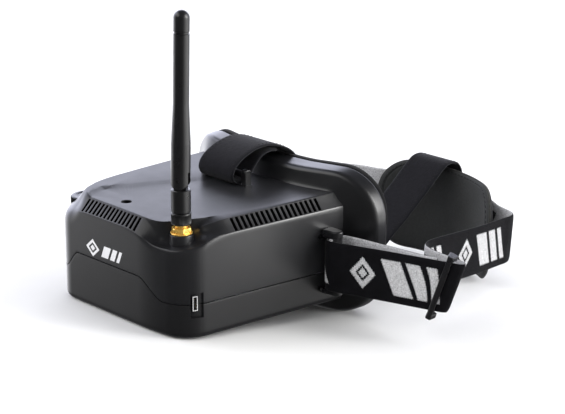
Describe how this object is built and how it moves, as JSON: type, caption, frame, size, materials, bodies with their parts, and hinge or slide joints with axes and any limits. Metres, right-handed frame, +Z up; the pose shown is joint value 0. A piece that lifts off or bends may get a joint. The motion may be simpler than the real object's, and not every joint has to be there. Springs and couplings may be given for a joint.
{
  "type": "fpv goggles",
  "caption": "Box-shaped head-worn video goggles with a flared face flange, foam face seal, tilting whip antenna, elastic headband with sliders, top strap and rear head pad.",
  "frame": {"origin": "middle of the flat underside of the lower shell", "axes": "+Z up, +Y towards the wearer, so the front face looks to -Y; +X to the right as seen from the front"},
  "size_m": [0.2354, 0.2439, 0.1815],
  "materials": {
    "shell_black": "satin",
    "shell_lower": "satin",
    "flange_black": "satin",
    "foam_black": "matte",
    "inner_black": "matte",
    "lens_clear": "gloss",
    "display_dark": "gloss",
    "flex_amber": "gloss",
    "board_green": "gloss",
    "tin_metal": "satin",
    "cell_foil": "satin",
    "cable_black": "matte",
    "control_black": "satin",
    "gold_plate": "gloss",
    "antenna_black": "satin",
    "screw_black": "satin",
    "fitting_black": "satin",
    "band_black": "matte",
    "top_strap_black": "matte",
    "pad_grey": "matte"
  },
  "bodies": {
    "goggles": {"upper_shell": "shell_black", "lower_shell": "shell_lower", "face_flange": "flange_black", "face_foam": "foam_black", "light_shroud": "inner_black", "lens": "lens_clear", "lens_frame": "inner_black", "lcd_panel": "display_dark", "lcd_bracket": "inner_black", "lcd_ribbon": "flex_amber", "main_board": "board_green", "receiver_module": "tin_metal", "battery": "cell_foil", "charge_board": "board_green", "usb_port": "tin_metal", "coax_pigtail": "cable_black", "jog_encoder": "control_black", "top_screw": "screw_black", "sma_jack": "gold_plate", "sma_nut": "gold_plate", "antenna_nut": "antenna_black", "top_staple": "fitting_black", "anchor_right": "fitting_black", "anchor_left": "fitting_black", "anchor_screws": "screw_black", "slider_right": "fitting_black", "slider_left": "fitting_black", "loop_right": "band_black", "turn_right": "band_black", "side_right": "band_black", "headband_back": "band_black", "side_left": "band_black", "loop_left": "band_black", "top_strap_front": "top_strap_black", "top_strap_rear": "top_strap_black", "head_pad": "pad_grey", "housing_screws": "screw_black", "flange_screws": "screw_black", "board_screws": "screw_black", "staple_screws": "screw_black"},
    "wheel": {"jog_wheel": "control_black"},
    "antenna_base": {"antenna_collar": "antenna_black"},
    "antenna_rod": {"antenna_whip": "antenna_black", "antenna_pin": "screw_black", "antenna_cap": "antenna_black", "antenna_radiator": "gold_plate"}
  },
  "joints": [
    {"name": "antenna_swivel", "type": "hinge", "parent": "goggles", "child": "antenna_base", "pos_m": [0.0379, -0.0322, 0.0634], "axis": [0, 0, 1], "range_deg": [-175, 175]},
    {"name": "antenna_tilt", "type": "hinge", "parent": "antenna_base", "child": "antenna_rod", "pos_m": [0.0379, -0.0322, 0.0804], "axis": [0.5563, -0.831, 0], "range_deg": [0, 90]},
    {"name": "thumb_wheel", "type": "hinge", "parent": "goggles", "child": "wheel", "pos_m": [-0.0487, -0.0244, 0.0489], "axis": [0, 0, 1], "continuous": true}
  ]
}
